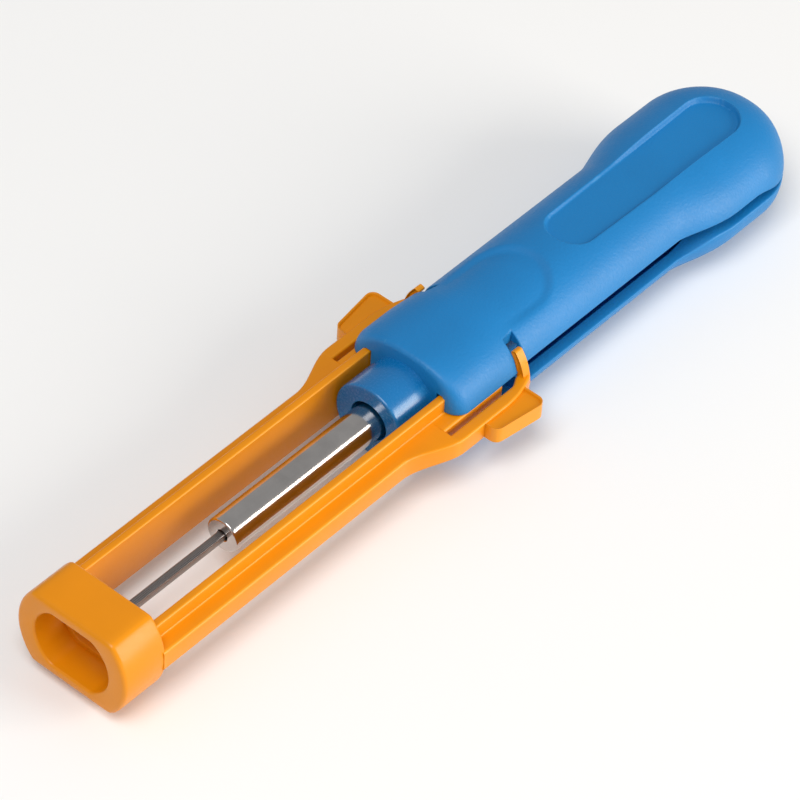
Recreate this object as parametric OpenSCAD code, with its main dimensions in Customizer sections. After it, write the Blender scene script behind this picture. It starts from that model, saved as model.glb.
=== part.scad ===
// Contact extraction tool: a moulded handle, a steel shank with a thin pin, and a sliding guard.
// Each module is drawn about the tool's own axis, with X running from the handle's front face
// to the guard's collar. in_place() then moves it so that the middle of the tool's length is
// over the origin and its lowest point is at Z = 0.

/* [Handle] */
// Length of the handle, from its front face to the end of the pommel
handle_len = 87; // [82:1:94]
// Length of the front block, from its face to the latch notches
block_len = 14; // [13:0.2:15]
// Width of the front block
block_w = 22.8; // [22.4:0.2:23.4]
// Width of the grip
grip_w = 21.6; // [21:0.2:22]
// Width of the pommel
pommel_w = 27; // [24:0.2:29]
// Height of the block and the grip
handle_h = 18; // [17:0.2:19]
// Height of the pommel
pommel_h = 19.2; // [18:0.2:20]
// Depth of the thumb pad behind the block
pad_depth = 0.6; // [0.2:0.1:0.9]

/* [Guard] */
// Distance from the handle's front face to the collar's front face
guard_reach = 73.6; // [70:0.2:76]
// Length of the collar along the tool
collar_len = 8.8; // [8:0.1:10]
// Width of the collar
collar_w = 21.8; // [20:0.1:24]
// Height of the collar between its flats
collar_h = 14.8; // [13:0.2:15.4]
// Width of the collar's opening
opening_w = 14.7; // [12:0.1:16]
// Height of the collar's opening
opening_h = 10.8; // [9:0.2:11.4]
// Distance from the tool's axis to the inner face of each arm
arm_inner = 6.9; // [6.8:0.1:7]
// Distance from the tool's axis to the outer face of each arm
arm_outer = 11; // [10.8:0.1:11.1]
// Height of an arm's outer web, which runs in the handle's side groove
web_h = 3.8; // [3.4:0.2:4]
// Height of an arm's inner flange, which the side slot holds in
flange_h = 9.2; // [8:0.2:9.4]
// Thickness of an arm's inner flange
flange_t = 1.4; // [1.2:0.1:1.6]

/* [Shank and pin] */
// Diameter of the shank
shank_d = 6; // [5.6:0.1:6.4]
// Distance from the handle's front face to the shank's end
shank_reach = 41; // [34:0.5:44]
// Width of the pin across the tool
pin_w = 1.4; // [1:0.1:1.6]
// Height of the pin
pin_h = 1.3; // [1:0.1:1.6]
// Distance from the handle's front face to the pin's tip
pin_reach = 68; // [60:0.5:69]
// Length of the nose in front of the handle
nose_len = 8; // [5:0.5:9]

/* [Hidden] */

blue = [0.11, 0.47, 0.74];
nose_blue = [0.05, 0.42, 0.70];
orange = [0.93, 0.55, 0.02];
steel = [0.72, 0.71, 0.70];
dark_steel = [0.35, 0.33, 0.33];

gap = 0.3;               // clearance of the sliding parts
tiny = 0.01;
cut = 40;                // longer than any cut has to be
facets = 64;
$fn = facets;

rest_z = pommel_h/2 - 0.1;               // the pommel's underside is flattened here, to rest on
axis_h = rest_z;                         // height of the tool's axis over its lowest point
mid_x = (guard_reach - handle_len)/2;    // middle of the tool's length

// --- outline of the handle: half widths, half heights and squareness along the tool
notch_len = 2.6;                         // width of each latch notch along the tool
flare_x = -54.5;                         // where the pommel starts to widen
pommel_x = -66.5;                        // where it reaches its full width
tail_w_x = -74.5;                        // where its plan starts to round off
tail_h_x = -75.5;                        // where its height starts to round off
side_round = 2.6;                        // plan radius of the block's front corners
top_round = 0.8;                         // radius of the block's front top edge
block_square = 2.7;                       // superellipse exponent of the block
grip_square = 2.25;                      // and of the grip

function smooth(t) = let(u = min(1, max(0, t))) u*u*(3 - 2*u);
function swell(x) = smooth(pow(min(1, max(0, (flare_x - x)/(flare_x - pommel_x))), 0.75));
function blend(a, b, t) = a + (b - a)*smooth(t);
function edge_drop(x, r) = x < -r ? 0 : r - sqrt(max(0, r*r - (r + x)*(r + x)));
function tail(x, x0, e) = x > x0 ? 1 : pow(max(0, 1 - pow((x0 - x)/(x0 + handle_len), e)), 1/e);
function half_w(x) =
    (blend(block_w/2, grip_w/2, (-block_len - x)/notch_len)
     + swell(x)*(pommel_w - grip_w)/2)
    * tail(x, tail_w_x, 1.9) - edge_drop(x, side_round);
function half_h(x) =
    (handle_h + swell(x)*(pommel_h - handle_h))/2
    * tail(x, tail_h_x, 2.4) - edge_drop(x, top_round);
function squareness(x) = blend(block_square, grip_square, (-block_len/2 - x)/(block_len/2 + notch_len));
function signed_pow(v, e) = sign(v)*pow(abs(v), e);

// the thumb pad is a shallow scoop in the top, with a round rear end, and it fades out forward
pad_front_x = -12;
pad_end = [-23.7, 7.8];                  // centre and radius of its round rear end
pad_edge_w = 2;                          // width over which its edge slopes
function pad_inset(x, y) = pad_end.y - (x > pad_end.x ? abs(y) : norm([x - pad_end.x, y]));
function pad(x, y) = pad_depth*smooth((pad_front_x - x)/10)*smooth(pad_inset(x, y)/pad_edge_w);

// one ring of points from the right side over the top to the left side, closed along Z = 0
half_steps = 26;
function half_ring(x, scoop) = [for (i = [0:half_steps])
    let(a = 180*i/half_steps, e = 2/squareness(x),
        y = half_w(x)*signed_pow(cos(a), e), z = half_h(x)*pow(max(0, sin(a)), e))
    [x, y, scoop > 0 ? (z > 2 ? z - scoop*pad(x, y) : z) : min(z, rest_z)]];

// stations along the handle, from its front face to the pommel's end
front_xs = [for (t = [0, 0.3, 0.55, 0.8]) -top_round*t];
corner_xs = [-1.3, -1.9, -2.6, -7, -10.5];
body_xs = [for (x = [-block_len:-1.3:-33]) x];
grip_xs = [-38, -45, -51];
flare_xs = [for (x = [flare_x:-2:tail_w_x]) x];
tail_xs = [for (a = [8:8:82]) tail_w_x - (handle_len + tail_w_x)*sin(a)];
form_xs = concat(front_xs, corner_xs, body_xs, grip_xs, flare_xs, tail_xs, [-handle_len + 0.02]);

// upper half of the handle's outer form; scoop is 1 with the thumb pad, and 0 with the resting flat
module half_form(scoop) {
    rings = [for (x = form_xs) half_ring(x, scoop)];
    n = half_steps + 1;
    last = len(form_xs) - 1;
    points = [for (r = rings) each r];
    walls = [for (k = [0:last - 1], i = [0:half_steps - 1])
        let(a = k*n + i) each [[a, a + 1, a + n + 1], [a, a + n + 1, a + n]]];
    base = [for (k = [0:last - 1]) [k*n + half_steps, k*n, (k + 1)*n, (k + 1)*n + half_steps]];
    front = [[for (i = [half_steps:-1:0]) i]];
    back = [[for (i = [0:half_steps]) last*n + i]];
    polyhedron(points, concat(walls, base, front, back), convexity = 6);
}

// --- shared places inside the handle
slot_floor = arm_inner - gap;            // half width of the web between the two side slots
slot_outer = arm_inner + flange_t + gap;
slot_half_h = flange_h/2 + gap;
groove_half_h = web_h/2 + 0.2;
slot_end_x = -66;                        // the flange slot stops here, and the groove runs on
notch_floor = 7.4;                       // distance from the axis to the notch's floor
notch_half_h = 7.2;

holder_neck = [4, 8.4, 9.4];             // length, width and height of the holder's neck
holder_body = [16, 10, 11];              // and of the body behind it
fit = 0.05;                              // clearance round the holder in its pocket
holder_end_x = -holder_neck.x - holder_body.x;

screw_xs = [-26.5, -50, -78];            // along the underside
screw_head_d = 4.6;
screw_head_t = 1.7;
screw_d = 2.2;
screw_hole_d = 2.8;
screw_pilot_d = 1.9;
screw_tip_z = 5;                         // how far a screw reaches over the parting plane
screw_seat_z = -4;                       // underside of the material each head pulls on

hollow_half_w = 4.6;                     // hollows that keep the walls of the moulding even
hollow_half_h = 6;
hollow_len = 5.8;
hollow_starts = [-30.5, -37.5, -54, -61, -68];

module in_place() {
    translate([-mid_x, 0, axis_h]) children();
}

// box from low to high corner
module span(low, high) {
    translate(low) cube(high - low);
}

// box centred on the tool's axis, from x0 back to x1
module block_between(x0, x1, w, h) {
    span([min(x0, x1), -w/2, -h/2], [max(x0, x1), w/2, h/2]);
}

// side groove, seen from the side: past the rail's travel it narrows, mostly in the lower shell
seam = 0.1;
module groove_outline() {
    polygon([[1, -groove_half_h], [flare_x, -groove_half_h], [-63, -seam], [-handle_len - 1, -seam],
             [-handle_len - 1, 0.5], [-80, 0.5], [-71, groove_half_h], [1, groove_half_h]]);
}

// side groove, flange slot and latch notch of the +Y side
module side_channel() {
    translate([0, cut, 0]) rotate([90, 0, 0]) linear_extrude(cut - slot_floor) groove_outline();
    span([slot_end_x, slot_floor, -slot_half_h], [1, slot_outer, slot_half_h]);
    span([-block_len - notch_len, notch_floor, -notch_half_h],
         [-block_len, cut, notch_half_h]);
}

module both_sides() {
    children();
    mirror([0, 1, 0]) children();
}

// pocket that holds the tip holder, half in each shell
module holder_pocket() {
    block_between(1, -holder_neck.x - fit, holder_neck.y + 2*fit, holder_neck.z + 2*fit);
    block_between(-holder_neck.x - fit, holder_end_x - fit,
                  holder_body.y + 2*fit, holder_body.z + 2*fit);
}

// hollows between the screws, with ribs between them
module hollows() {
    for (x = hollow_starts)
        block_between(x, x - hollow_len, 2*hollow_half_w, 2*hollow_half_h);
}

// outline of the label panel: a long shape with round ends, wider at the pommel
label_front = [-40, 4.2];                // centre and radius of its front end
label_rear = [-74.6, 4.8];               // and of its rear end
label_floor_z = handle_h/2 - 1;
module label_panel() {
    lean = asin((label_rear.y - label_front.y)/(label_front.x - label_rear.x));
    steps = 14;
    function arc(end, a0, a1) = [for (i = [0:steps])
        let(a = a0 + (a1 - a0)*i/steps) [end.x + end.y*cos(a), end.y*sin(a)]];
    polygon(concat(arc(label_front, lean - 90, 90 - lean), arc(label_rear, 90 - lean, 270 + lean)));
}

module handle_upper_shell() {
    color(blue) in_place() difference() {
        half_form(1);
        both_sides() side_channel();
        holder_pocket();
        hollows();
        translate([0, 0, label_floor_z]) linear_extrude(cut) label_panel();
        for (x = screw_xs)
            translate([x, 0, -tiny]) cylinder(d = screw_pilot_d, h = screw_tip_z + 0.6);
    }
}

module handle_lower_shell() {
    color(blue) in_place() difference() {
        mirror([0, 0, 1]) half_form(0);
        both_sides() side_channel();
        holder_pocket();
        hollows();
        for (x = screw_xs) {
            translate([x, 0, -cut]) cylinder(d = screw_hole_d, h = cut + 1);
            translate([x, 0, -cut]) cylinder(d = screw_head_d + 0.4, h = cut + screw_seat_z);
        }
    }
}

// self-tapping screw with its tip up
module screw() {
    translate([0, 0, screw_seat_z - screw_head_t]) difference() {
        cylinder(d = screw_head_d, h = screw_head_t);
        for (a = [0, 90])
            rotate(a) translate([-1.2, -0.25, -1]) cube([2.4, 0.5, 1.9]);
    }
    translate([0, 0, screw_seat_z - tiny]) cylinder(d = screw_d, h = screw_tip_z - screw_seat_z - 1);
    translate([0, 0, screw_tip_z - 1.02]) cylinder(d1 = screw_d, d2 = 0.6, h = 1);
}

module shell_screws() {
    color(steel) in_place() for (x = screw_xs) translate([x, 0, 0]) screw();
}

// --- tip holder, shank, dowel and pin
nose_r = 6.6;                            // the nose passes between the guard's arms
nose_bevel = 0.4;
ring_r = 3.5;                            // clearance ring round the shank in the nose
ring_depth = 3;
shank_end_x = holder_end_x + 2;          // bottom of the holder's blind bore
dowel_r = 0.9;
dowel_x = -11;
shank_groove_r = 2.1;

// cylinder along X from x0 to x1
module rod(r, x0, x1) {
    translate([min(x0, x1), 0, 0]) rotate([0, 90, 0]) cylinder(r = r, h = abs(x1 - x0));
}

module dowel_place() {
    translate([dowel_x, shank_groove_r + dowel_r, 0]) children();
}

module tip_holder() {
    color(nose_blue) in_place() difference() {
        union() {
            rod(nose_r, 0, nose_len - nose_bevel);
            translate([nose_len - nose_bevel, 0, 0]) rotate([0, 90, 0])
                cylinder(r1 = nose_r, r2 = nose_r - nose_bevel, h = nose_bevel);
            block_between(tiny, -holder_neck.x - tiny, holder_neck.y, holder_neck.z);
            block_between(-holder_neck.x, holder_end_x, holder_body.y, holder_body.z);
        }
        rod(shank_d/2, shank_end_x, nose_len + 1);
        rod(ring_r, nose_len - ring_depth, nose_len + 1);
        dowel_place() cylinder(r = dowel_r, h = cut, center = true);
    }
}

module shank_dowel() {
    color(dark_steel) in_place() dowel_place()
        cylinder(r = dowel_r, h = holder_body.z - 0.6, center = true);
}

shank_bevel = 0.35;
pin_bore_r = 1;
pin_head_r = 1.8;
pin_head_t = 1.5;
module shank() {
    color(steel) in_place() difference() {
        translate([shank_end_x, 0, 0]) rotate([0, 90, 0]) rotate_extrude() polygon([
            [0, 0],
            [shank_d/2 - shank_bevel, 0],
            [shank_d/2, shank_bevel],
            [shank_d/2, shank_reach - shank_end_x - shank_bevel],
            [shank_d/2 - shank_bevel, shank_reach - shank_end_x],
            [0, shank_reach - shank_end_x]
        ]);
        rod(pin_bore_r, shank_end_x - 1, shank_reach + 1);
        rod(pin_head_r, shank_end_x - 1, shank_end_x + pin_head_t);
        difference() {
            rod(shank_d, dowel_x - dowel_r, dowel_x + dowel_r);
            rod(shank_groove_r, dowel_x - 2*dowel_r, dowel_x + 2*dowel_r);
        }
    }
}

pin_bevel = 1.2;
module extraction_pin() {
    color(dark_steel) in_place() union() {
        block_between(shank_end_x + 0.5, pin_reach - pin_bevel, pin_w, pin_h);
        translate([pin_reach - pin_bevel, 0, 0]) intersection() {
            rotate([90, 0, 0]) linear_extrude(pin_w, center = true)
                polygon([[-tiny, -pin_h/2], [pin_bevel, -pin_h/4], [pin_bevel, pin_h/4], [-tiny, pin_h/2]]);
            linear_extrude(pin_h, center = true)
                polygon([[-tiny, -pin_w/2], [pin_bevel, -pin_w/4], [pin_bevel, pin_w/4], [-tiny, pin_w/2]]);
        }
        rod(pin_head_r, shank_end_x, shank_end_x + pin_head_t);
    }
}

// --- guard
// round-ended section with flat top and bottom, standing in the YZ plane
module end_section(w, h, end_r) {
    intersection() {
        union() {
            for (s = [-1, 1]) translate([0, s*(w/2 - end_r)]) circle(end_r);
            square([2*end_r, w - 2*end_r], center = true);
        }
        square([h, w + 1], center = true);
    }
}

// extrudes along X from x0 to x1; the section's own x is up and its y is across the tool
module along(x0, x1) {
    translate([x1, 0, 0]) rotate([0, -90, 0]) linear_extrude(x1 - x0) children();
}

collar_back_x = guard_reach - collar_len;
collar_end_r = 10.4;
opening_end_r = 6;
opening_step = 0.9;                      // the rear of the opening is this much smaller all round
opening_step_len = 3;
collar_lip = 0.6;
module guard_collar() {
    color(orange) in_place() difference() {
        union() {
            along(collar_back_x, guard_reach - collar_lip)
                end_section(collar_w, collar_h, collar_end_r);
            along(guard_reach - collar_lip - tiny, guard_reach)
                end_section(collar_w - collar_lip, collar_h - collar_lip, collar_end_r - collar_lip/2);
        }
        along(collar_back_x + opening_step_len, guard_reach + 1)
            end_section(opening_w, opening_h, opening_end_r);
        along(collar_back_x - 1, guard_reach)
            end_section(opening_w - 2*opening_step, opening_h - 2*opening_step,
                        opening_end_r - opening_step);
    }
}

rail_end_x = -10.6;
finger_h = 3.3;                          // height of the latch finger, a little less than the web's
flare_reach_x = 12.5;                    // where each arm starts to spread outward
flare_full_x = 1.5;                      // where it has spread as far as the finger
root_x = 3;                              // where the latch finger leaves the arm
root_outer = 14.2;                       // outer face of the finger
finger_inner = 12;                       // inner face of the finger, clear of the rail
hinge_gap = 0.12;

function arm_edge(x) = blend(arm_outer, root_outer, (flare_reach_x - x)/(flare_reach_x - flare_full_x));

// plan of the arm's spread between the straight arm and the finger's root, an S-shaped edge
module spread_plan() {
    steps = 10;
    polygon(concat(
        [[flare_reach_x, arm_outer - 0.5]],
        [for (i = [0:steps])
            let(x = flare_reach_x + (root_x - flare_reach_x)*i/steps) [x, arm_edge(x)]],
        [[root_x, finger_inner], [root_x + 0.8, arm_outer + 0.1], [root_x + 1, arm_outer - 0.5]]));
}

module arm() {
    web_in = arm_inner + flange_t - tiny;
    span([rail_end_x, arm_inner, -flange_h/2], [collar_back_x, arm_inner + flange_t, flange_h/2]);
    span([rail_end_x, web_in, -web_h/2], [collar_back_x, arm_outer, web_h/2]);
    translate([0, 0, -web_h/2]) linear_extrude(web_h) spread_plan();
}

module guard_arm_left() {
    color(orange) in_place() arm();
}

module guard_arm_right() {
    color(orange) in_place() mirror([0, 1, 0]) arm();
}

// --- latch fingers
claw_front_x = -block_len - 0.25;
claw_t = 1.5;                            // thickness of the claw along the tool
claw_gap = 0.15;                         // clearance between the claw and the grip
claw_depth = 1.5;                        // thickness of the claw out from the grip
claw_thin = 0.5;                         // how much thinner it is at its two tips
claw_top_z = 5.6;
lug_front_x = -2.9;
lug_rear_x = -13.2;
lug_front_y = 16.5;
lug_rear_y = 17.9;
lug_h = 2.9;
lug_r = 1.4;

// half outline of the grip grown by a distance, as y for a height z
function grip_y(z, grow) =
    let(w = grip_w/2 + grow, h = handle_h/2 + grow)
    w*pow(1 - pow(abs(z)/h, grip_square), 1/grip_square);

module claw() {
    steps = 14;
    top_outer = claw_top_z + 0.3;
    inner = [for (i = [-steps:steps]) let(z = claw_top_z*i/steps) [z, grip_y(z, claw_gap)]];
    outer = [for (i = [steps:-1:-steps])
        let(z = top_outer*i/steps) [z, grip_y(z, claw_gap + claw_depth - claw_thin*abs(i)/steps)]];
    along(claw_front_x - claw_t, claw_front_x) polygon(concat(inner, outer));
}

finger_bend_x = -8;                      // from here the finger closes in to the claw
module finger_plan() {
    rear_x = claw_front_x - claw_t;
    rear_y = grip_y(0, claw_gap + claw_depth);
    steps = 8;
    polygon(concat(
        [[root_x - hinge_gap, finger_inner], [root_x - hinge_gap, arm_edge(root_x)],
         [flare_full_x, root_outer]],
        [for (i = [0:steps]) let(t = i/steps)
            [finger_bend_x + (rear_x - finger_bend_x)*t, root_outer + (rear_y - root_outer)*t*t]],
        [[rear_x, grip_y(0, claw_gap)], [claw_front_x, grip_y(0, claw_gap)],
         [claw_front_x + 1.6, finger_inner - 0.2], [claw_front_x + 2.6, finger_inner]]));
}

// thumb lug with rounded outer corners; its outer edge runs out towards the rear
module lug_plan() {
    polygon([[lug_front_x, finger_inner + 1], [lug_front_x, lug_front_y - lug_r],
             [lug_front_x - lug_r, lug_front_y], [lug_rear_x + lug_r, lug_rear_y],
             [lug_rear_x, lug_rear_y - lug_r], [lug_rear_x, finger_inner + 0.6]]);
    translate([lug_front_x - lug_r, lug_front_y - lug_r]) circle(lug_r);
    translate([lug_rear_x + lug_r, lug_rear_y - lug_r]) circle(lug_r);
}

module latch() {
    claw();
    translate([0, 0, -finger_h/2]) linear_extrude(finger_h) finger_plan();
    translate([0, 0, -lug_h/2]) linear_extrude(lug_h) lug_plan();
}

module latch_left() {
    color(orange) in_place() latch();
}

module latch_right() {
    color(orange) in_place() mirror([0, 1, 0]) latch();
}

handle_upper_shell();
handle_lower_shell();
tip_holder();
shank();
shank_dowel();
extraction_pin();
guard_collar();
guard_arm_left();
guard_arm_right();
latch_left();
latch_right();
shell_screws();
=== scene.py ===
"""Looks of the contact extraction tool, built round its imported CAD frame.

Every shape is worked out in millimetres about the tool's own axis. X runs from the handle's
front face towards the guard's collar, Y runs to the tool's left and Z runs up. spot() moves a
point from there into the row frame, in metres.
"""
import math

import bmesh
import bpy
from mathutils import Matrix, Vector


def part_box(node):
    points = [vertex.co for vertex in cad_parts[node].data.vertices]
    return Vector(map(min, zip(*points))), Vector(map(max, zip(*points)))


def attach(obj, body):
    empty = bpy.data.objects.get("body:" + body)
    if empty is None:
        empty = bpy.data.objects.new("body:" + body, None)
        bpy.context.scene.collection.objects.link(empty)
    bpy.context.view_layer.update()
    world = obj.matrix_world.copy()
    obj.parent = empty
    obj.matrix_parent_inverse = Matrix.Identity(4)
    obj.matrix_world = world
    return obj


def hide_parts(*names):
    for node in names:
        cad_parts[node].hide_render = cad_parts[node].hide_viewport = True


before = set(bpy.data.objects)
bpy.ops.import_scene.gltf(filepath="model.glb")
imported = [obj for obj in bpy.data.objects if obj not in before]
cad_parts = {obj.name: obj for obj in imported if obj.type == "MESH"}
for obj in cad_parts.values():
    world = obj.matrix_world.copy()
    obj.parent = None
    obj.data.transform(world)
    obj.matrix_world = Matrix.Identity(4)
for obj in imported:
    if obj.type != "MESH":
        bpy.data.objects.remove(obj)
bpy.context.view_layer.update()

# --- the tool's own frame and the sizes that the CAD boxes give -------------------------------
MM = 0.001
X, Y, Z = range(3)
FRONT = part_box("handle_upper_shell")[1].x
AXIS = (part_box("shank")[0].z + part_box("shank")[1].z) / 2


def spot(x, y, z):
    """A point in the row frame, in metres, from millimetres about the tool's axis."""
    return Vector((FRONT + x * MM, y * MM, AXIS + z * MM))


def reach(node, axis):
    """Lowest and highest place of a CAD node along one axis, in millimetres in the tool's frame."""
    home = spot(0, 0, 0)
    return [(corner[axis] - home[axis]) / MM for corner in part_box(node)]


HANDLE_LEN = -reach("handle_upper_shell", X)[0]
POMMEL_W = 2 * reach("handle_upper_shell", Y)[1]
POMMEL_H = 2 * reach("handle_upper_shell", Z)[1]
REST_Z = -reach("handle_lower_shell", Z)[0]
COLLAR_BACK, COLLAR_FRONT = reach("guard_collar", X)
COLLAR_W = 2 * reach("guard_collar", Y)[1]
COLLAR_H = 2 * reach("guard_collar", Z)[1]
SHANK_BACK, SHANK_FRONT = reach("shank", X)
SHANK_R = reach("shank", Z)[1]
HOLDER_BACK, NOSE_LEN = reach("tip_holder", X)
NOSE_R = reach("tip_holder", Z)[1]
PIN_TIP = reach("extraction_pin", X)[1]
RAIL_END = reach("guard_arm_left", X)[0]
LUG_REAR_Y = reach("latch_left", Y)[1]
CLAW_BACK = reach("latch_left", X)[0]

# --- handle: the same outline as the CAD's, in millimetres ------------------------------------
BLOCK_LEN = 14.0
BLOCK_W = 22.8
GRIP_W = 21.6
HANDLE_H = 18.0
BLOCK_SQUARE = 2.7      # superellipse exponent of the front block
GRIP_SQUARE = 2.25      # and of the grip
SIDE_ROUND = 2.6        # plan radius of the block's front corners
TOP_ROUND = 0.8         # radius of its front top edge
FLARE_X = -54.5         # where the grip starts to swell into the pommel
POMMEL_X = -66.5        # and where the swelling ends
SWELL_POWER = 0.75
TAIL_W_X = -74.5        # where the round end starts in plan, and its exponent
TAIL_W_POWER = 1.9
TAIL_H_X = -75.5        # the same from the side
TAIL_H_POWER = 2.4

NOTCH_LEN = 2.6         # notches behind the block for the claws
NOTCH_REAR = -BLOCK_LEN - NOTCH_LEN
NOTCH_FLOOR = 7.4
NOTCH_H = 7.2
NOTCH_EDGE = 0.3
NOTCH_WALLS = ((-BLOCK_LEN, 1), (NOTCH_REAR, -1))       # place, and the side of its material

PAD_DEPTH = 0.6
PAD_FRONT = -12.0
PAD_FADE = 10.0
PAD_END = (-23.7, 7.8)          # middle and radius of the thumb pad's round rear end
PAD_EDGE = 2.0

SLOT_FLOOR = 6.6        # T-slots for the guard's rails: distances from the axis
SLOT_OUTER = 8.6
SLOT_H = 4.9
SLOT_END = -66.0
GROOVE_H = 2.1          # half height of the groove outside each slot
LOWER_FADE = 8.5        # length over which the groove closes in the lower shell
UPPER_FADE_X = -71.0    # where it starts to close in the upper shell
UPPER_FADE = 9.0
UPPER_END_H = 0.5
LIP_ROUND = 0.35
LIP_REACH = 0.7         # reach of the lip past SLOT_FLOOR below which its rounding shrinks
LIP_CLEAR = 0.1
SEAM = 0.15

LABEL_FRONT = (-40.0, 4.2)      # middle and radius of the label panel's front end
LABEL_REAR = (-74.6, 4.8)
LABEL_FLOOR = 8.0
LABEL_EDGE = 0.28


def smooth(t):
    """Eases from 0 to 1, and stays level outside that range."""
    t = min(1.0, max(0.0, t))
    return t * t * (3 - 2 * t)


def mix(a, b, t):
    return a + (b - a) * t


def spaced(start, end, step):
    """Evenly spaced values from start to end, both included, no further apart than step."""
    count = max(1, math.ceil(abs(end - start) / step))
    return [mix(start, end, i / count) for i in range(count + 1)]


def swell(x):
    """0 on the grip, 1 on the pommel."""
    share = min(1.0, max(0.0, (FLARE_X - x) / (FLARE_X - POMMEL_X)))
    return smooth(share ** SWELL_POWER)


def tail(x, start, power):
    """Share of the full size that is left at x, where the handle's end is rounded off."""
    share = max(0.0, (start - x) / (start + HANDLE_LEN))
    return max(0.0, 1 - share ** power) ** (1 / power)


def edge_drop(depth, radius):
    """How far a rounded edge falls back, at a depth behind the face where it starts."""
    if depth > radius:
        return 0.0
    return radius - math.sqrt(max(0.0, radius ** 2 - (radius - depth) ** 2))


def half_w(x):
    block = mix(BLOCK_W / 2, GRIP_W / 2, smooth((-BLOCK_LEN - x) / NOTCH_LEN))
    width = block + swell(x) * (POMMEL_W - GRIP_W) / 2
    return width * tail(x, TAIL_W_X, TAIL_W_POWER) - edge_drop(-x, SIDE_ROUND)


def half_h(x):
    height = (HANDLE_H + swell(x) * (POMMEL_H - HANDLE_H)) / 2
    return height * tail(x, TAIL_H_X, TAIL_H_POWER) - edge_drop(-x, TOP_ROUND)


def squareness(x):
    share = (-BLOCK_LEN / 2 - x) / (BLOCK_LEN / 2 + NOTCH_LEN)
    return mix(BLOCK_SQUARE, GRIP_SQUARE, smooth(share))


def side(x, z):
    """Distance from the axis to the handle's outer surface at height z."""
    share = min(1.0, abs(z) / half_h(x))
    return half_w(x) * (1 - share ** squareness(x)) ** (1 / squareness(x))


def crest(x, y):
    """Height of the handle's outer surface at distance y from the middle."""
    share = min(1.0, abs(y) / half_w(x))
    return half_h(x) * (1 - share ** squareness(x)) ** (1 / squareness(x))


def pad_drop(x, y):
    """Depth of the thumb pad, a shallow scoop with a round rear end that fades out forward."""
    middle, radius = PAD_END
    away = abs(y) if x > middle else math.hypot(x - middle, y)
    return PAD_DEPTH * smooth((PAD_FRONT - x) / PAD_FADE) * smooth((radius - away) / PAD_EDGE)


def label_half_w(x):
    share = (LABEL_FRONT[0] - x) / (LABEL_FRONT[0] - LABEL_REAR[0])
    return mix(LABEL_FRONT[1], LABEL_REAR[1], min(1.0, max(0.0, share)))


def label_depth(x, y):
    """1 on the label panel's floor, 0 outside it, and a smooth step between."""
    if x > LABEL_FRONT[0]:
        outside = math.hypot(x - LABEL_FRONT[0], y) - LABEL_FRONT[1]
    elif x < LABEL_REAR[0]:
        outside = math.hypot(x - LABEL_REAR[0], y) - LABEL_REAR[1]
    else:
        outside = abs(y) - label_half_w(x)
    return smooth((LABEL_EDGE - outside) / (2 * LABEL_EDGE))


# --- mesh building ----------------------------------------------------------------------------
SHARP = math.radians(32)
WELD = 1e-7


def finish_mesh(piece):
    """Welds doubles, turns faces outward, and shades smooth between the sharp edges."""
    mesh = bmesh.new()
    mesh.from_mesh(piece.data)
    bmesh.ops.remove_doubles(mesh, verts=mesh.verts, dist=WELD)
    bmesh.ops.recalc_face_normals(mesh, faces=mesh.faces)
    for face in mesh.faces:
        face.smooth = True
    for edge in mesh.edges:
        edge.smooth = len(edge.link_faces) == 2 and edge.calc_face_angle() < SHARP
    mesh.to_mesh(piece.data)
    mesh.free()
    return piece


def skin(name, rings, closed=False):
    """A piece through rings of points in the tool's frame.

    The first and last rings are capped, or joined to each other when closed is true.
    """
    count = len(rings[0])
    points = [spot(*point) for ring in rings for point in ring]
    faces = []
    pairs = len(rings) if closed else len(rings) - 1
    for k in range(pairs):
        here = k * count
        there = (k + 1) % len(rings) * count
        for i in range(count):
            j = (i + 1) % count
            faces.append((here + i, here + j, there + j, there + i))
    if not closed:
        faces.append(tuple(reversed(range(count))))
        faces.append(tuple(range(len(points) - count, len(points))))
    data = bpy.data.meshes.new(name)
    data.from_pydata(points, [], faces)
    piece = bpy.data.objects.new(name, data)
    bpy.context.scene.collection.objects.link(piece)
    return finish_mesh(piece)


def combined(piece, others, operation):
    """piece with other pieces added to it or cut from it, which are used up."""
    for other in others:
        modifier = piece.modifiers.new("combine", "BOOLEAN")
        modifier.operation = operation
        modifier.solver = "EXACT"
        modifier.object = other
    bpy.context.view_layer.update()
    final = piece.evaluated_get(bpy.context.evaluated_depsgraph_get())
    shape = bpy.data.meshes.new_from_object(final)
    piece.modifiers.clear()
    piece.data = shape
    for other in others:
        bpy.data.objects.remove(other)
    return finish_mesh(piece)


def rounded(corners, steps=5):
    """A closed outline with an arc at each corner, from (a, b, radius) corners in order."""
    nearly_straight = math.radians(89.5)
    outline = []
    for i, (a, b, radius) in enumerate(corners):
        here = Vector((a, b))
        back = (Vector(corners[i - 1][:2]) - here).normalized()
        ahead = (Vector(corners[(i + 1) % len(corners)][:2]) - here).normalized()
        half = back.angle(ahead) / 2
        if radius == 0 or half > nearly_straight:
            outline += [tuple(here)] * (steps + 1)
            continue
        middle = here + (back + ahead).normalized() * radius / math.sin(half)
        start = here + back * radius / math.tan(half) - middle
        turn = math.pi - 2 * half
        if back.x * ahead.y - back.y * ahead.x > 0:
            turn = -turn
        for k in range(steps + 1):
            outline.append(tuple(middle + Matrix.Rotation(turn * k / steps, 2) @ start))
    return outline


def next_apart(outline, i, step):
    """The nearest point along the outline, in steps of 1 or -1, that isn't on top of point i."""
    same = 1e-6
    k = i + step
    while math.dist(outline[k % len(outline)], outline[i]) <= same:
        k += step
    return Vector(outline[k % len(outline)])


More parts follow.
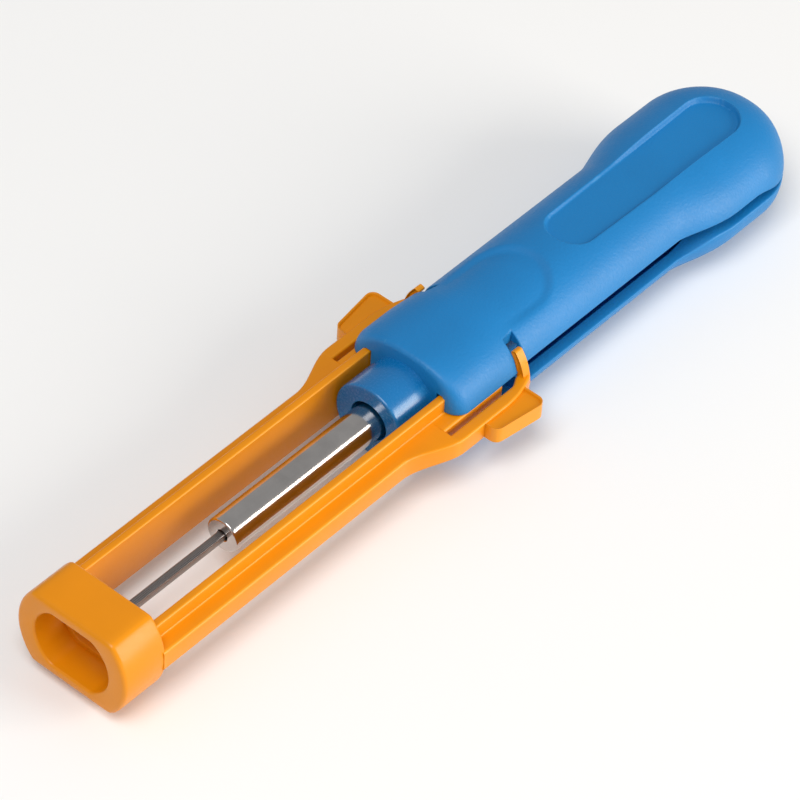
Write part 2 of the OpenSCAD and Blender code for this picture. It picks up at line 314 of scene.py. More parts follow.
def grown(outline, distance):
    """The outline moved outward by a distance, or inward by a negative one."""
    sharpest = 0.5
    area = sum(outline[i - 1][0] * b - outline[i - 1][1] * a for i, (a, b) in enumerate(outline))
    turn = 1 if area > 0 else -1
    moved = []
    for i, (a, b) in enumerate(outline):
        here = Vector((a, b))
        one = (here - next_apart(outline, i, -1)).normalized()
        two = (next_apart(outline, i, 1) - here).normalized()
        normal = Vector((one.y + two.y, -one.x - two.x)) * turn
        normal.normalize()
        stretch = max(sharpest, normal.dot(Vector((one.y, -one.x)) * turn))
        moved.append((a + normal.x * distance / stretch, b + normal.y * distance / stretch))
    return moved


def slab(name, outline, low, high, edge, place, steps=4):
    """A plate between two levels, whose flat faces are sunk inside a raised rim.

    edge is the rim's width and the depth of the faces. place(a, b, level) gives a point.
    """
    bottom = []
    for k in range(steps + 1):
        inset = 1 - math.sin(math.radians(90 * k / steps))
        depth = 1 - math.sqrt(max(0, 1 - inset ** 2))
        bottom.append((grown(outline, -edge * inset), low + edge * depth))
    top = [(shape, low + high - level) for shape, level in reversed(bottom)]
    return skin(name, [[place(a, b, level) for a, b in shape] for shape, level in bottom + top])


def turned(name, profile, steps=96):
    """A piece turned about the tool's axis from a closed profile of (x, radius) points."""
    rings = [[(x, radius * math.cos(a), radius * math.sin(a)) for x, radius in profile]
             for a in (2 * math.pi * k / steps for k in range(steps))]
    return skin(name, rings, closed=True)


# --- handle shells ----------------------------------------------------------------------------
LIP_STEPS = 4
WALL_STEPS = 14
CROWN_STEPS = 20
LABEL_EDGE_STEPS = 5
LABEL_FLOOR_STEPS = 24
# shares of the handle's own size that keep the parts of its section in order at its round end
MOST_LIP = 0.5
MOST_NOTCH = 0.8
MOST_LABEL = 0.45
MOST_BAND = 0.05
# the top is recessed above this height, and within this share of the half width
RECESS_Z = NOTCH_H - 1
RECESS_REACH = 0.9


def lip_height(x, upper):
    """Height of the groove's lip. Past the rails' travel it narrows, most in the lower shell."""
    if upper:
        height = mix(GROOVE_H, UPPER_END_H, smooth((UPPER_FADE_X - x) / UPPER_FADE))
    else:
        height = mix(GROOVE_H, SEAM, smooth((FLARE_X - x) / LOWER_FADE))
    return min(height, MOST_LIP * half_h(x))


def lip_radius(x, lip):
    return LIP_ROUND * min(1.0, max(0.0, (side(x, lip) - SLOT_FLOOR) / LIP_REACH))


def notch_top(x):
    return min(NOTCH_H, MOST_NOTCH * half_h(x))


def outline_point(x, turn):
    """Point (y, z) of the handle's outer outline at an angle."""
    power = squareness(x) / 2
    return (half_w(x) * math.cos(turn) ** (1 / power), half_h(x) * math.sin(turn) ** (1 / power))


def height_turn(x, z):
    """Angle of the outer outline's point at height z."""
    return math.asin((z / half_h(x)) ** (squareness(x) / 2))


def width_turn(x, y):
    """Angle of the outer outline's point at distance y from the middle."""
    return math.acos((y / half_w(x)) ** (squareness(x) / 2))


def slot_points(x, lip, slot_top):
    """The slot's inner wall, from the parting plane up, and its outer wall down to the lip."""
    def floor(z):
        return min(SLOT_FLOOR, side(x, z))

    outer = min(SLOT_OUTER, side(x, lip) - LIP_ROUND - LIP_CLEAR) if x > SLOT_END else floor(lip)
    outer_top = min(outer, side(x, slot_top) - LIP_CLEAR)
    inner_wall = [(floor(0) - min(SEAM, floor(0) / 2), 0.0), (floor(SEAM / 2), min(SEAM, lip / 2)),
                  (floor(lip), lip), (floor(slot_top), slot_top)]
    outer_wall = [(max(outer_top, floor(slot_top)), slot_top), (max(outer, floor(lip)), lip)]
    return inner_wall, outer_wall


def lip_points(x, lip):
    """The rounded edge between the groove's lip and the side wall."""
    radius = lip_radius(x, lip)
    start = Vector((side(x, lip) - radius, lip))
    corner = Vector((side(x, lip), lip))
    end = Vector((side(x, lip + radius), lip + radius))
    shares = [k / LIP_STEPS for k in range(LIP_STEPS + 1)]
    return [tuple(start * (1 - t) ** 2 + corner * 2 * t * (1 - t) + end * t * t) for t in shares]


def notch_edge_drop(x):
    """How far the side wall falls back at the rounded edges beside the notch."""
    for wall, away in NOTCH_WALLS:
        gap = (x - wall) * away
        if 0 <= gap < NOTCH_EDGE:
            return edge_drop(gap, NOTCH_EDGE)
    return 0.0


def wall_points(x, lip):
    """The side wall, from the lip up to the level of the notch's end."""
    low = height_turn(x, lip + lip_radius(x, lip))
    high = height_turn(x, notch_top(x))
    points = []
    for k in range(1, WALL_STEPS + 1):
        y, z = outline_point(x, mix(low, high, k / WALL_STEPS))
        points.append((y - notch_edge_drop(x), z))
    return points


def notched(x, points, slot_top):
    """Points of the side, drawn in to the notch's floor where x is inside the notch.

    Right at the notch's walls the points below the slot's top gather in the slot's corner, so
    that the walls leave the slot open.
    """
    if NOTCH_REAR < x < -BLOCK_LEN:
        return [(min(y, NOTCH_FLOOR), max(z, slot_top)) for y, z in points]
    if x in (-BLOCK_LEN, NOTCH_REAR):
        return [(y, z) if z > slot_top else (SLOT_OUTER, slot_top) for y, z in points]
    return points


def crown_points(x):
    """The top, from the level of the notch's end over the label panel's edge to the middle."""
    label_y = min(label_half_w(x), MOST_LABEL * half_w(x))
    band = min(LABEL_EDGE, MOST_BAND * half_w(x))
    low = height_turn(x, notch_top(x))
    high = width_turn(x, label_y + band)
    arc = [outline_point(x, mix(low, high, k / CROWN_STEPS)) for k in range(CROWN_STEPS + 1)]
    ys = [label_y + band * (1 - 2 * k / LABEL_EDGE_STEPS) for k in range(1, LABEL_EDGE_STEPS + 1)]
    ys += [(label_y - band) * (1 - k / LABEL_FLOOR_STEPS) for k in range(1, LABEL_FLOOR_STEPS + 1)]
    return arc + [(y, crest(x, y)) for y in ys]


def recessed(x, y, z):
    """A point of the upper shell, with the thumb pad and the label panel sunk into the top."""
    if z > RECESS_Z and y < half_w(x) * RECESS_REACH:
        z -= pad_drop(x, y)
        z = mix(z, min(z, LABEL_FLOOR), label_depth(x, y))
    return (y, z)


def shell_section(x, upper):
    """Half outline of a handle shell, from the parting plane by the side groove up to the crest."""
    lip = lip_height(x, upper)
    slot_top = SLOT_H if x > SLOT_END else lip
    inner_wall, outer_wall = slot_points(x, lip, slot_top)
    flank = outer_wall + lip_points(x, lip) + wall_points(x, lip)
    section = inner_wall + notched(x, flank, slot_top) + crown_points(x)
    if upper:
        return [recessed(x, y, z) for y, z in section]
    return [(y, -min(z, REST_Z)) for y, z in section]


NEAR = 0.001                    # distance to either side of a sudden step
LABEL_ARC = (-35.3, -41.0)      # stretches with the round ends of the label panel
LABEL_REAR_ARC = (LABEL_REAR[0] + 1, LABEL_REAR[0] - LABEL_REAR[1] - 0.6)
TAIL_ANGLES = [*range(6, 73, 6), 77, 81, 84, 86.5, 88.5]


def shell_stations():
    """Places along the handle where its section is taken, closest where the form turns fastest."""
    xs = [-SIDE_ROUND * (1 - math.cos(math.radians(a))) for a in range(0, 91, 6)]
    xs += spaced(-SIDE_ROUND, -BLOCK_LEN + NOTCH_EDGE, 0.8)[1:]
    for wall, away in NOTCH_WALLS:
        edge = [wall + away * NOTCH_EDGE * (1 - math.sin(math.radians(a))) for a in (25, 50, 75)]
        step = [wall + NEAR, wall, wall - NEAR]
        xs += edge + step if away > 0 else step + edge[::-1]
    xs += spaced(NOTCH_REAR - NOTCH_EDGE, LABEL_ARC[0], 0.4)
    xs += spaced(*LABEL_ARC, 0.2)[1:]
    xs += spaced(LABEL_ARC[1], FLARE_X, 0.8)[1:]
    xs += spaced(FLARE_X, SLOT_END + NEAR, 0.5)[1:]
    xs += [SLOT_END - NEAR]
    xs += spaced(SLOT_END - NEAR, LABEL_REAR_ARC[0], 0.5)[1:]
    xs += spaced(*LABEL_REAR_ARC, 0.2)[1:]
    start = xs[-1]
    return xs + [start - (HANDLE_LEN + start) * math.sin(math.radians(a)) for a in TAIL_ANGLES]


# front end, rear end, half width and half height of the spaces inside the shells
HOLDER_SPACES = [(1, -4.05, 4.25, 4.75), (-4.05, -20.05, 5.05, 5.55)]
HOLLOW_SPACES = [(x, x - 5.8, 4.6, 6.0) for x in (-30.5, -37.5, -54, -61, -68)]
SPACE_OVERLAP = 0.5             # how far a cutter reaches past the parting plane


def shell_interior(top):
    """Cutters for the tip holder's pocket, and for hollows that keep the walls even."""
    cutters = []
    for k, (x0, x1, w, h) in enumerate(HOLDER_SPACES + HOLLOW_SPACES):
        low, high = (-SPACE_OVERLAP, h) if top else (-h, SPACE_OVERLAP)
        corners = ((-w, low), (w, low), (w, high), (-w, high))
        cutters.append(skin(f"space_{k}", [[(x, y, z) for y, z in corners] for x in (x0, x1)]))
    return cutters


SCREW_XS = (-26.5, -50.0, -78.0)
COUNTERBORE = (2.5, -4.0)       # radius, and the height that it reaches up to
SCREW_HOLE = (1.4, 1.0)
WELL_BOTTOM = -20.0             # below the whole handle
WELL_TURNS = [2 * math.pi * k / 48 for k in range(48)]


def screw_wells():
    """Cutters for the counterbores and holes of the three screws, from below."""
    wells = []
    for x in SCREW_XS:
        for radius, top in (COUNTERBORE, SCREW_HOLE):
            ring = [(x + radius * math.cos(a), radius * math.sin(a)) for a in WELL_TURNS]
            wells.append(skin("well", [[(a, b, z) for a, b in ring] for z in (WELL_BOTTOM, top)]))
    return wells


def handle_shell(name, upper):
    rings = []
    for x in shell_stations():
        half = shell_section(x, upper)
        other = [(-y, z) for y, z in reversed(half[:-1])]
        rings.append([(x, y, z) for y, z in half + other])
    return skin(name, rings)


# --- materials --------------------------------------------------------------------------------
class Nodes:
    """A small helper that adds nodes to a material and joins them."""

    def __init__(self, name):
        self.material = bpy.data.materials.new(name)
        self.material.use_nodes = True
        self.tree = self.material.node_tree
        self.shader = self.tree.nodes["Principled BSDF"]

    def add(self, kind, **values):
        node = self.tree.nodes.new(kind)
        for key, value in values.items():
            if key in node.inputs:
                self.set(node, key, value)
            else:
                setattr(node, key, value)
        return node

    def set(self, node, key, value):
        if isinstance(value, bpy.types.NodeSocket):
            self.tree.links.new(value, node.inputs[key])
        else:
            node.inputs[key].default_value = value

    def place(self):
        """Position on the object, in metres, so that patterns keep their real size."""
        return self.add("ShaderNodeTexCoord").outputs["Object"]

    def noise(self, vector, scale, detail=2.0, rough=0.5):
        node = self.add("ShaderNodeTexNoise", Vector=vector, Scale=scale, Detail=detail,
                        Roughness=rough)
        return node.outputs["Fac"]

    def ramp(self, value, low, high, start=0.0, end=1.0):
        """Carries a value that runs from start to end over to the range from low to high."""
        node = self.add("ShaderNodeMapRange")
        for index, number in enumerate((value, start, end, low, high)):
            self.set(node, index, number)
        return node.outputs[0]

    def blend(self, share, first, second):
        """Mixes two colours. 6 and 7 are the Mix node's colour inputs, and 2 its colour output."""
        node = self.add("ShaderNodeMix", data_type="RGBA")
        for index, value in ((0, share), (6, first), (7, second)):
            self.set(node, index, value)
        return node.outputs[2]

    def bump(self, height, distance, strength=1.0, normal=None):
        node = self.add("ShaderNodeBump", Height=height, Distance=distance, Strength=strength)
        if normal is not None:
            self.set(node, "Normal", normal)
        return node.outputs["Normal"]


def shaded(color, share=1.0):
    """A colour darkened to a share of itself, with an alpha of 1."""
    return (*[c * share for c in color], 1)


CLOUD_SCALE = 90                # scales of the noises, in features per metre
SPECKLE_SCALE = 2400
RIPPLE_SCALE = 260
RIPPLE_DEPTH = 0.006            # in millimetres


def moulded_plastic(name, color, edge_highlight_color, roughness, gloss, grain, grain_depth, coat=0.0):
    """Moulded plastic: slightly uneven colour and gloss, a fine surface grain, and a painted
    highlight that makes the edges paler.
    """
    n = Nodes(name)
    place = n.place()
    cloud = n.noise(place, CLOUD_SCALE, 3)
    speckle = n.noise(place, SPECKLE_SCALE, 2)
    # painted highlight: edges found by pointiness are made paler, in speckled patches, to stand for
    # light catching them
    edge = n.ramp(n.add("ShaderNodeNewGeometry").outputs["Pointiness"], 0.0, 1.0, 0.52, 0.60)
    shade = n.blend(n.ramp(cloud, 0.0, 1.0, 0.35, 0.65), shaded(color, 0.94), shaded(color))
    edge_highlight_mask = n.add("ShaderNodeMath", operation="MULTIPLY")
    n.set(edge_highlight_mask, 0, edge)
    n.set(edge_highlight_mask, 1, n.ramp(speckle, 0.1, 0.35))
    n.set(n.shader, "Base Color", n.blend(edge_highlight_mask.outputs[0], shade, shaded(edge_highlight_color)))
    n.set(n.shader, "Roughness", n.ramp(speckle, roughness - 0.05, roughness + 0.05, 0.3, 0.7))
    fine = n.bump(n.noise(place, grain, 2.5, 0.55), grain_depth * MM)
    ripple = n.noise(place, RIPPLE_SCALE, 1.5)
    n.set(n.shader, "Normal", n.bump(ripple, RIPPLE_DEPTH * MM, 0.6, fine))
    n.set(n.shader, "Coat Weight", coat)
    n.set(n.shader, "Coat Roughness", 0.18)
    n.set(n.shader, "Specular IOR Level", gloss)
    return n.material


SCRATCH_STRETCH = (60, 9000, 9000)      # scratches are long in X and fine across it
SCRATCH_DEPTH = 0.0012                  # in millimetres
SMEAR_SCALE = 300


def drawn_steel(name, color, roughness):
    """Ground steel: fine scratches along the tool, and a little smearing of the polish."""
    n = Nodes(name)
    place = n.place()
    along = n.add("ShaderNodeMapping", Vector=place, Scale=SCRATCH_STRETCH).outputs["Vector"]
    scratch = n.noise(along, 1.0, 3, 0.6)
    smear = n.ramp(n.noise(place, SMEAR_SCALE, 3), 0.0, 1.0, 0.3, 0.7)
    n.set(n.shader, "Base Color", n.blend(smear, shaded(color, 0.85), shaded(color)))
    n.set(n.shader, "Roughness", n.ramp(scratch, roughness * 0.8, roughness * 1.3, 0.3, 0.7))
    n.set(n.shader, "Normal", n.bump(scratch, SCRATCH_DEPTH * MM))
    n.set(n.shader, "Metallic", 1.0)
    return n.material


# each plastic's second colour is the paler tone of its painted edge highlight
HANDLE_BLUE = moulded_plastic("handle_blue", color=(0.003, 0.187, 0.49), edge_highlight_color=(0.08, 0.33, 0.58),
                              roughness=0.50, gloss=0.48, grain=2200, grain_depth=0.055)
NOSE_BLUE = moulded_plastic("nose_blue", color=(0.001, 0.15, 0.41), edge_highlight_color=(0.05, 0.30, 0.58),
                            roughness=0.26, gloss=0.55, grain=3000, grain_depth=0.002, coat=0.3)
ORANGE = moulded_plastic("guard_orange", color=(0.76, 0.255, 0.001), edge_highlight_color=(0.90, 0.42, 0.03),
                         roughness=0.36, gloss=0.30, grain=2600, grain_depth=0.003, coat=0.08)
STEEL = drawn_steel("polished_steel", (0.68, 0.65, 0.63), 0.14)
DARK_STEEL = drawn_steel("pin_steel", (0.34, 0.31, 0.30), 0.28)
SCREW_STEEL = drawn_steel("screw_steel", (0.62, 0.62, 0.60), 0.30)


def dress(piece, material, body, slot, *nodes):
    """Gives a new piece its material, the body it rides on and the CAD nodes it stands for."""
    piece.data.materials.clear()
    piece.data.materials.append(material)
    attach(piece, body)
    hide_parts(*nodes)


def dress_node(node, material):
    """Gives a CAD node that is shown as it is a better material."""
    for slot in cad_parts[node].material_slots:
        slot.material = material


# --- the handle's pieces ----------------------------------------------------------------------
def make_handle():
    upper = handle_shell("upper_shell", True)
    upper = combined(upper, shell_interior(True), "DIFFERENCE")
    dress(upper, HANDLE_BLUE, "handle", "handle_plastic", "handle_upper_shell")
    lower = handle_shell("lower_shell", False)
    lower = combined(lower, shell_interior(False) + screw_wells(), "DIFFERENCE")
    dress(lower, HANDLE_BLUE, "handle", "handle_plastic", "handle_lower_shell")


NOSE_BEVEL = 0.4
RING_R = 3.5            # clearance ring round the shank
RING_DEPTH = 3.0
RING_BEVEL = 0.15
FACE_MARGIN = 0.3       # from the nose's bevel to the nearest ring on its face and its side
RING_MARGIN = 0.4       # from the clearance ring to the nearest ring on the nose's face
NECK = (8.4, 9.4)       # width and height of the holder's neck and of its keyed body
KEYED_BODY = (10, 11)
NECK_BACK = -4.0
CLOSED_R = 0.01         # radius that stands for a closed end
HOLDER_TURNS = [2 * math.pi * (k + 0.5) / 128 for k in range(128)]


def round_ring(radius):
    return [(radius * math.cos(a), radius * math.sin(a)) for a in HOLDER_TURNS]


def box_ring(width, height):
    """A rectangle, with its points at the same angles as the round rings'."""
    ring = []
    for a in HOLDER_TURNS:
        across = width / 2 / max(1e-9, abs(math.cos(a)))
        up = height / 2 / max(1e-9, abs(math.sin(a)))
        ring.append((min(across, up) * math.cos(a), min(across, up) * math.sin(a)))
    return ring


def make_tip_holder():
    """Round nose with a clearance ring round the shank, and its keyed body in the handle."""
    ring_back = NOSE_LEN - RING_DEPTH
    nose = [(SHANK_BACK, CLOSED_R), (SHANK_BACK, SHANK_R), (ring_back, SHANK_R),
            (ring_back, RING_R), (NOSE_LEN - RING_BEVEL, RING_R), (NOSE_LEN, RING_R + RING_BEVEL),
            (NOSE_LEN, RING_R + RING_MARGIN), (NOSE_LEN, NOSE_R - NOSE_BEVEL - FACE_MARGIN),
            (NOSE_LEN, NOSE_R - NOSE_BEVEL)]
    nose += [(NOSE_LEN - NOSE_BEVEL * (1 - math.cos(a)), NOSE_R - NOSE_BEVEL * (1 - math.sin(a)))
             for a in (math.radians(30 * k) for k in (1, 2, 3))]
    nose += [(x, NOSE_R) for x in spaced(NOSE_LEN - NOSE_BEVEL - FACE_MARGIN, 0.0, 1.0)]
    profile = [(x, round_ring(radius)) for x, radius in nose]
    profile += [(0.0, box_ring(*NECK)), (NECK_BACK, box_ring(*NECK)),
                (NECK_BACK, box_ring(*KEYED_BODY)), (HOLDER_BACK, box_ring(*KEYED_BODY)),
                (HOLDER_BACK, round_ring(CLOSED_R))]
    holder = skin("nose_and_holder", [[(x, y, z) for y, z in ring] for x, ring in profile])
    dress(holder, NOSE_BLUE, "handle", "holder_plastic", "tip_holder")


SHANK_BEVEL = 0.35
PIN_BORE = 1.0
BORE_BEVEL = 0.12
HEAD_R = 1.8                    # wide rear end of the bore
HEAD_DEPTH = 1.5
DOWEL_GROOVE = (-11.9, -10.1)
DOWEL_GROOVE_R = 2.1


def make_shank():
    """Ground round shank with a bevelled end, a bore for the pin and a groove for its dowel."""
    front = SHANK_FRONT
    head = SHANK_BACK + HEAD_DEPTH
    profile = [(SHANK_BACK, HEAD_R), (SHANK_BACK, SHANK_R - SHANK_BEVEL),
               (SHANK_BACK + SHANK_BEVEL, SHANK_R), (DOWEL_GROOVE[0], SHANK_R),
               (DOWEL_GROOVE[0], DOWEL_GROOVE_R), (DOWEL_GROOVE[1], DOWEL_GROOVE_R),
               (DOWEL_GROOVE[1], SHANK_R)]
    profile += [(x, SHANK_R) for x in spaced(-8.0, front - SHANK_BEVEL - 0.2, 4.0)]
    profile += [(front - SHANK_BEVEL * (1 - math.sin(a)), SHANK_R - SHANK_BEVEL * (1 - math.cos(a)))
                for a in (math.radians(15 * k) for k in range(7))]
    profile += [(front, PIN_BORE + BORE_BEVEL), (front - BORE_BEVEL, PIN_BORE), (head, PIN_BORE),
                (head, HEAD_R)]
    shank = turned("ground_shank", profile)
    dress(shank, STEEL, "handle", "polished_steel", "shank")


PIN_W = 1.4
PIN_H = 1.3
PIN_CORNER = 0.16
PIN_TAPER = 1.2
PIN_POINT = ((0.15, 0.56), (0.0, 0.44))         # distance from the tip, share of the full size


def make_pin():
    """Square pin with broken edges and a tapered tip."""
    def section(share):
        w, h = PIN_W * share / 2, PIN_H * share / 2
        return rounded([(w, h, PIN_CORNER), (-w, h, PIN_CORNER),
                        (-w, -h, PIN_CORNER), (w, -h, PIN_CORNER)], 3)

    steps = [(SHANK_BACK + 0.5, 1.0)] + [(x, 1.0) for x in spaced(0, PIN_TIP - PIN_TAPER, 8)]
    steps += [(PIN_TIP - before, share) for before, share in PIN_POINT]
    pin = skin("square_pin", [[(x, y, z) for y, z in section(share)] for x, share in steps])
    dress(pin, DARK_STEEL, "handle", "dark_steel", "extraction_pin")


# --- the guard's pieces -----------------------------------------------------------------------
def slot_outline(w, h, end_r, corner):
    """Outline with round ends and flat top and bottom, whose corners are softened, as (y, z)."""
    arc_steps, flat_steps = 40, 24
    middle = w / 2 - end_r
    lift = math.asin(min(1.0, h / 2 / end_r))
    flat = middle + end_r * math.cos(lift)
    outline = []
    for away in (1, -1):
        for k in range(arc_steps + 1):
            a = mix(-lift, lift, k / arc_steps)
            outline.append((away * (middle + end_r * math.cos(a)), away * end_r * math.sin(a)))
        for k in range(1, flat_steps):
            outline.append((away * flat * (1 - 2 * k / flat_steps), away * h / 2))
    return softened(outline, corner)


def softened(outline, size):
    """Rounds an outline's corners by averaging each point with its neighbours within a distance."""
    length = len(outline)
    result = []
    for i in range(length):
        total = Vector((0, 0))
        weight = 0.0
        for k in range(-12, 13):
            point = Vector(outline[(i + k) % length])
            apart = (point - Vector(outline[i])).length
            share = max(0.0, 1 - apart / size)
            total += point * share
            weight += share
        result.append(tuple(total / weight))
    return result


# width, height, end radius and corner softening of the collar and its stepped opening
COLLAR_FORM = (COLLAR_W, COLLAR_H, 10.4, 1.2)
MOUTH_FORM = (14.7, 10.8, 6.0, 0.8)
THROAT_FORM = (12.9, 9.0, 5.1, 0.8)
THROAT_LEN = 3.0
BACK_RIM = 0.5
FRONT_RIM = 0.8
MOUTH_RIM = 0.45
THROAT_RIM = 0.15


def rim(outline, x, radius, toward, outward):
    """Rings of a rounded rim, from the side wall to the end face at x.

    toward is 1 for a rim that faces forward and -1 for one that faces back. outward is -1 on
    the collar's outside and 1 round an opening.
    """
    rings = []
    for a in (math.radians(22.5 * k) for k in range(5)):
        level = x - toward * radius * (1 - math.sin(a))
        shape = grown(outline, outward * radius * (1 - math.cos(a)))
        rings.append([(level, y, z) for y, z in shape])
    return rings


def make_collar():
    """Collar with a stepped oblong opening and rounded rims."""
    outer = slot_outline(*COLLAR_FORM)
    mouth = slot_outline(*MOUTH_FORM)
    throat = slot_outline(*THROAT_FORM)
    step_x = COLLAR_BACK + THROAT_LEN
    rings = rim(outer, COLLAR_BACK, BACK_RIM, -1, -1)[::-1]
    rings += rim(outer, COLLAR_FRONT, FRONT_RIM, 1, -1)
    rings += rim(mouth, COLLAR_FRONT, MOUTH_RIM, 1, 1)[::-1]
    rings += [[(step_x, y, z) for y, z in mouth]]
    rings += rim(throat, step_x, THROAT_RIM, 1, 1)[::-1]
    rings += rim(throat, COLLAR_BACK, THROAT_RIM, -1, 1)
    collar = skin("collar", rings, closed=True)
    dress(collar, ORANGE, "guard", "guard_plastic", "guard_collar")


ARM_INNER = 6.9
ARM_OUTER = 11.0
WEB_H = 3.8
FLANGE_H = 9.2
FLANGE_T = 1.4
SPREAD_X = 12.5         # the arms spread from here back to SPREAD_FULL_X
SPREAD_FULL_X = 1.5
ROOT_X = 3.0            # where the finger parts from the arm
WEB_FULL_X = 5.0        # where the web has the finger's height
FINGER_OUTER = 14.2
FINGER_INNER = 12.0
FINGER_H = 3.3


def arm_edge(x):
    return mix(ARM_OUTER, FINGER_OUTER, smooth((SPREAD_X - x) / (SPREAD_X - SPREAD_FULL_X)))


def arm_section(outer, web):
    """T section of an arm as (y, z): a tall inner flange and a web that reaches out from it."""
    top = [(ARM_INNER, FLANGE_H / 2, 0.3), (ARM_INNER + FLANGE_T, FLANGE_H / 2, 0.35),
           (ARM_INNER + FLANGE_T, WEB_H / 2, 0.3), (outer - 1.2, mix(WEB_H / 2, web / 2, 0.5), 0.0),
           (outer, web / 2, 0.45)]
    bottom = [(y, -z, radius) for y, z, radius in reversed(top)]
    return rounded(top + bottom)


def make_arm(name, away, node):
    """Arm on one side; away is 1 on the left and -1 on the right."""
    rings = []

    def station(x, outer, web):
        rings.append([(x, away * y, z) for y, z in arm_section(outer, web)])

    station(COLLAR_BACK + 0.6, ARM_OUTER, WEB_H)
    for x in spaced(COLLAR_BACK - 0.3, SPREAD_X, 5):
        station(x, ARM_OUTER, WEB_H)
    for x in spaced(SPREAD_X, ROOT_X, 0.5)[1:]:
        web = mix(WEB_H, FINGER_H, smooth((SPREAD_X - x) / (SPREAD_X - WEB_FULL_X)))
        station(x, arm_edge(x), web)
    for x in spaced(ROOT_X - NEAR, RAIL_END, 3):
        station(x, ARM_OUTER, WEB_H)
    arm = skin(name, rings)
    dress(arm, ORANGE, "guard", "guard_plastic", node)


LUG_FRONT = -2.9
LUG_REAR = -13.2
LUG_FRONT_Y = 16.5
LUG_H = 2.9
LUG_R = 1.4
LUG_INNER_R = 0.2
LUG_RIM = 0.45
CLAW_T = 1.5
CLAW_GAP = 0.15
CLAW_DEPTH = 1.5
CLAW_THIN = 0.5         # how much thinner the claw is at its ends
CLAW_TOP = 5.6          # height of its ends on the inner face
CLAW_SLANT = 0.3        # how much higher they are on the outer face
CLAW_END_R = 0.35
CLAW_RIM = 0.3
BEND_X = -8.0           # where the finger starts to bend in towards the claw
BLEND_LEN = 2.6         # length over which its inner side runs into the claw


def grip_y(z, grow):
    """Distance from the axis to the grip's outline grown by a distance, at height z."""
    w = GRIP_W / 2 + grow
    h = HANDLE_H / 2 + grow
    return w * (1 - (abs(z) / h) ** GRIP_SQUARE) ** (1 / GRIP_SQUARE)


def finger_inner(x):
    """Distance from the axis to the finger's inner side."""
    share = smooth((CLAW_BACK + CLAW_T + BLEND_LEN - x) / BLEND_LEN)
    return mix(FINGER_INNER, grip_y(0, CLAW_GAP), share)


def finger_outer(x):
    """Distance from the axis to the finger's outer side."""
    share = max(0.0, (BEND_X - x) / (BEND_X - CLAW_BACK))
    return arm_edge(x) + (grip_y(0, CLAW_GAP + CLAW_DEPTH) - FINGER_OUTER) * share * share


def finger_part(away):
    """Springy finger from the arm's root back to the claw, as a bar of rounded section."""
    rings = []

    def station(x, from_x, inset, corner):
        """A section taken at from_x, made smaller all round by inset and placed at x."""
        inner, outer = finger_inner(from_x) + inset, finger_outer(from_x) - inset
        high = FINGER_H / 2 - inset
        outline = rounded([(inner, high, corner), (outer, high, corner),
                           (outer, -high, corner), (inner, -high, corner)])
        rings.append([(x, away * y, z) for y, z in outline])

    for x in spaced(ROOT_X, CLAW_BACK + 0.4, 0.5):
        station(x, x, inset=0.0, corner=0.4)
    station(CLAW_BACK + 0.12, CLAW_BACK, inset=0.12, corner=0.4)
    station(CLAW_BACK, CLAW_BACK, inset=0.4, corner=0.2)
    return skin("finger", rings)


def lug_part(away):
    """Thumb lug, a flat tab whose outer edge runs out towards the rear."""
    outline = rounded([(LUG_FRONT, FINGER_INNER + 1, LUG_INNER_R), (LUG_FRONT, LUG_FRONT_Y, LUG_R),
                       (LUG_REAR, LUG_REAR_Y, LUG_R), (LUG_REAR, FINGER_INNER + 0.6, LUG_INNER_R)], 8)
    return slab("lug", outline, -LUG_H / 2, LUG_H / 2, LUG_RIM, lambda x, y, z: (x, away * y, z))


def claw_part(away):
    """Claw that hugs the grip behind the block, thinner towards its two ends."""
    steps = 18
    shares = [k / steps * 2 - 1 for k in range(steps + 1)]
    outer_top = CLAW_TOP + CLAW_SLANT
    inner = [(CLAW_TOP * t, grip_y(CLAW_TOP * t, CLAW_GAP)) for t in shares]
    outer = [(outer_top * t, grip_y(outer_top * t, CLAW_GAP + CLAW_DEPTH - CLAW_THIN * abs(t)))
             for t in reversed(shares)]
    corners = [(z, y, CLAW_END_R if k in (0, steps) else 0.0) for points in (inner, outer)
               for k, (z, y) in enumerate(points)]
    return slab("claw", rounded(corners, 3), CLAW_BACK, CLAW_BACK + CLAW_T, CLAW_RIM,
                lambda z, y, x: (x, away * y, z), 3)


def make_latch(name, away, body, node):
    latch = combined(finger_part(away), [lug_part(away), claw_part(away)], "UNION")
    latch.name = name
    dress(latch, ORANGE, body, "guard_plastic", node)


# --- stage, light and camera ------------------------------------------------------------------
FLOOR_HALF = 3.0        # in metres


def make_floor():
    corners = [(x * FLOOR_HALF, y * FLOOR_HALF, 0) for x, y in ((-1, -1), (1, -1), (1, 1), (-1, 1))]
    data = bpy.data.meshes.new("floor")
    data.from_pydata(corners, [], [(0, 1, 2, 3)])
    floor = bpy.data.objects.new("floor", data)
    bpy.context.scene.collection.objects.link(floor)
    n = Nodes("pale_floor")
    tone = n.ramp(n.noise(n.place(), 3, 2), 0.90, 0.92)
    grey = n.add("ShaderNodeCombineColor", Red=tone, Green=tone, Blue=tone).outputs[0]
    n.set(n.shader, "Base Color", grey)
    n.set(n.shader, "Roughness", 0.9)
    n.set(n.shader, "Specular IOR Level", 0.1)
    data.materials.append(n.material)


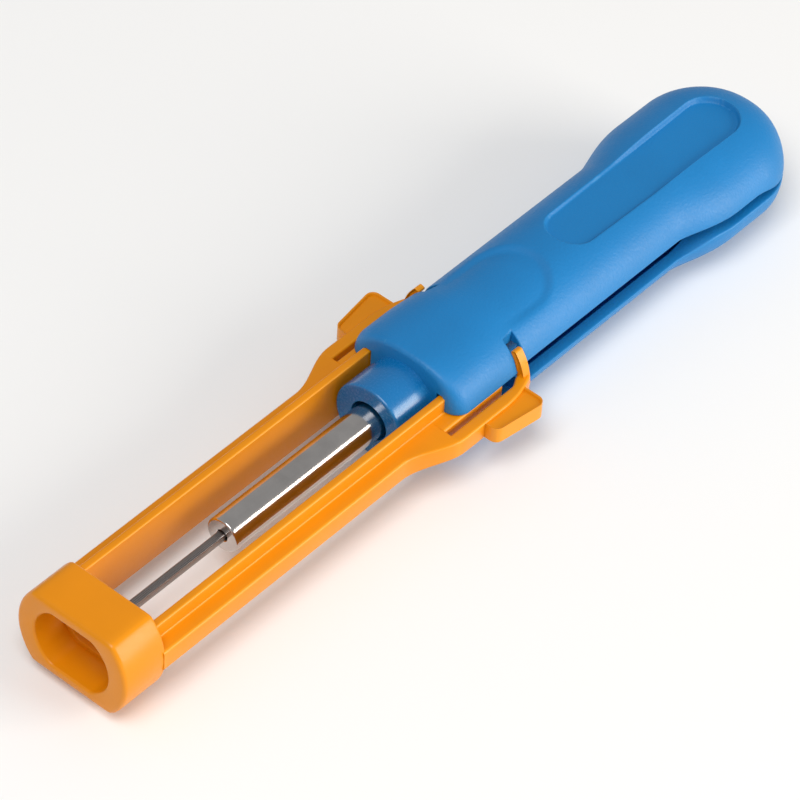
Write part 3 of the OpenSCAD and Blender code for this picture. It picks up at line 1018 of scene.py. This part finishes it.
def direction(azimuth, elevation):
    """Unit vector from the tool, with azimuth from +X towards +Y, in degrees."""
    a = math.radians(azimuth)
    e = math.radians(elevation)
    return Vector((math.cos(e) * math.cos(a), math.cos(e) * math.sin(a), math.sin(e)))


def add_softbox(name, azimuth, elevation, distance, size, power, color):
    """Square area light that faces the tool from a direction in degrees."""
    light = bpy.data.lights.new(name, "AREA")
    light.shape = "SQUARE"
    light.size = size
    light.energy = power
    light.color = color
    lamp = bpy.data.objects.new(name, light)
    bpy.context.scene.collection.objects.link(lamp)
    out = direction(azimuth, elevation)
    lamp.location = out * distance
    lamp.rotation_euler = out.to_track_quat("Z", "Y").to_euler()


def make_light():
    world = bpy.data.worlds.new("studio")
    world.use_nodes = True
    bpy.context.scene.world = world
    background = world.node_tree.nodes["Background"]
    background.inputs["Color"].default_value = (1, 1, 1, 1)
    background.inputs["Strength"].default_value = 0.36
    add_softbox("side", azimuth=114, elevation=16, distance=1.1, size=0.7, power=11.5,
                color=(1.0, 0.95, 0.86))
    add_softbox("overhead", azimuth=20, elevation=62, distance=1.3, size=0.7, power=10,
                color=(1.0, 1.0, 1.0))


def make_camera():
    """Long lens, looking down on the tool from its left front, slightly rolled."""
    azimuth, elevation, roll = 38.18, 44.96, 3.91
    distance = 0.7654
    aim = spot(1.12, 0.51, 0)
    data = bpy.data.cameras.new("camera")
    data.lens = 225.0
    data.sensor_width = 36
    data.clip_end = 20
    camera = bpy.data.objects.new("camera", data)
    bpy.context.scene.collection.objects.link(camera)
    out = direction(azimuth, elevation)
    turn = out.to_track_quat("Z", "Y").to_matrix() @ Matrix.Rotation(math.radians(roll), 3, "Z")
    camera.matrix_world = Matrix.Translation(aim + out * distance) @ turn.to_4x4()
    bpy.context.scene.camera = camera
    bpy.context.scene.view_settings.view_transform = "Standard"


make_camera()
make_handle()
make_tip_holder()
make_shank()
make_pin()
make_collar()
make_arm("left_arm", 1, "guard_arm_left")
make_arm("right_arm", -1, "guard_arm_right")
make_latch("left_finger", 1, "left_latch", "latch_left")
make_latch("right_finger", -1, "right_latch", "latch_right")
dress_node("shank_dowel", DARK_STEEL)
dress_node("shell_screws", SCREW_STEEL)
make_floor()
make_light()
